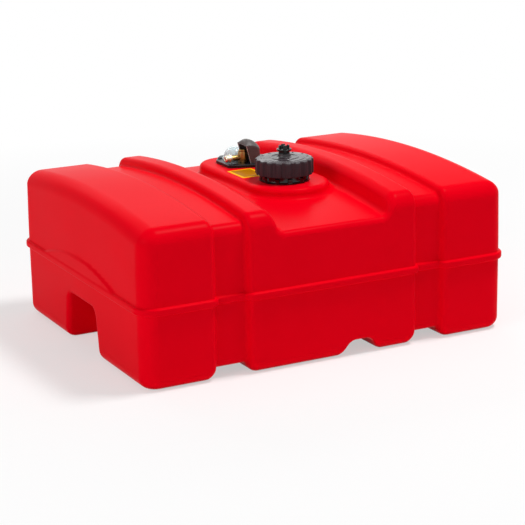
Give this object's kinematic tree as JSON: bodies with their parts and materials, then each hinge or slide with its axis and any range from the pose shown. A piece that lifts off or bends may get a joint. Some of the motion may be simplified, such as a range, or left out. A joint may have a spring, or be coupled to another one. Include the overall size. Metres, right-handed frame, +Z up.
{
  "type": "outboard fuel tank",
  "caption": "Low rectangular moulded fuel tank with arched top, strap channels, end hand pockets, screw cap with vent, sight gauge and fuel outlet.",
  "frame": {"origin": "under the middle of the tank, on the surface it stands on", "axes": "+X along the tank's long side, +Y from the front long wall towards the back, +Z up"},
  "size_m": [0.606, 0.474, 0.2825],
  "materials": {
    "red_polyethylene": "satin blow-moulded polyethylene",
    "black_plastic": "satin moulded polypropylene",
    "black_rubber": "matt nitrile rubber",
    "cork_rubber": "matt cork-filled rubber",
    "zinc_screw": "zinc plated",
    "stainless": "drawn stainless",
    "clear_lens": "clear moulded, glossy",
    "white_card": "satin",
    "pointer_red": "satin",
    "natural_acetal": "satin",
    "float_foam": "matt closed-cell nitrile foam",
    "brass": "machined",
    "nickel": "bright nickel plate",
    "yellow_label": "satin printed film, bare"
  },
  "bodies": {
    "tank": {"tank_body": "red_polyethylene", "neck_ring": "black_plastic", "gauge_plate": "black_plastic", "plate_gasket": "cork_rubber", "plate_screws": "zinc_screw", "sight_dome": "clear_lens", "gauge_scale": "white_card", "float_bracket": "natural_acetal", "pivot_pin": "stainless", "outlet_elbow": "brass", "valve_cap": "brass", "check_spring": "stainless", "quick_plug": "nickel", "dip_tube": "natural_acetal", "pickup_screen": "natural_acetal", "outlet_guard": "black_plastic", "plain_label": "yellow_label"},
    "cap_lift_ring": {"cap_gasket": "black_rubber"},
    "cap": {"cap_shell": "black_plastic"},
    "vent_lift_ring": {"vent_seal": "black_rubber"},
    "vent_screw": {"vent_knob": "black_plastic"},
    "float": {"float_arm": "stainless", "arm_float": "float_foam", "pointer": "pointer_red"},
    "check_valve": {"check_poppet": "stainless"}
  },
  "joints": [
    {"name": "cap_lift", "type": "slide", "parent": "tank", "child": "cap_lift_ring", "axis": [0, 0, 1], "range_m": [0, 0.015]},
    {"name": "cap_turn", "type": "hinge", "parent": "cap_lift_ring", "child": "cap", "pos_m": [0.022, -0.046, 0.25], "axis": [0, 0, 1], "range_deg": [0, 900]},
    {"name": "vent_lift", "type": "slide", "parent": "cap", "child": "vent_lift_ring", "axis": [0, 0, 1], "range_m": [0, 0.002]},
    {"name": "vent_turn", "type": "hinge", "parent": "vent_lift_ring", "child": "vent_screw", "pos_m": [0.022, -0.046, 0.272], "axis": [0, 0, 1], "range_deg": [0, 360]},
    {"name": "float_swing", "type": "hinge", "parent": "tank", "child": "float", "pos_m": [0.015, 0.1105, 0.222], "axis": [0, 1, 0], "range_deg": [0, 53]},
    {"name": "check_valve_lift", "type": "slide", "parent": "tank", "child": "check_valve", "axis": [0, 0, 1], "range_m": [0, 0.0025], "stiffness_N_per_m": 60, "springref_m": -0.002, "deforming": ["check_spring"]}
  ],
  "couplings": [
    {"joint": "cap_lift", "follows": "cap_turn", "m_per_rad": 0.00095493},
    {"joint": "vent_turn", "follows": "vent_lift", "rad_per_m": 3141.6}
  ]
}
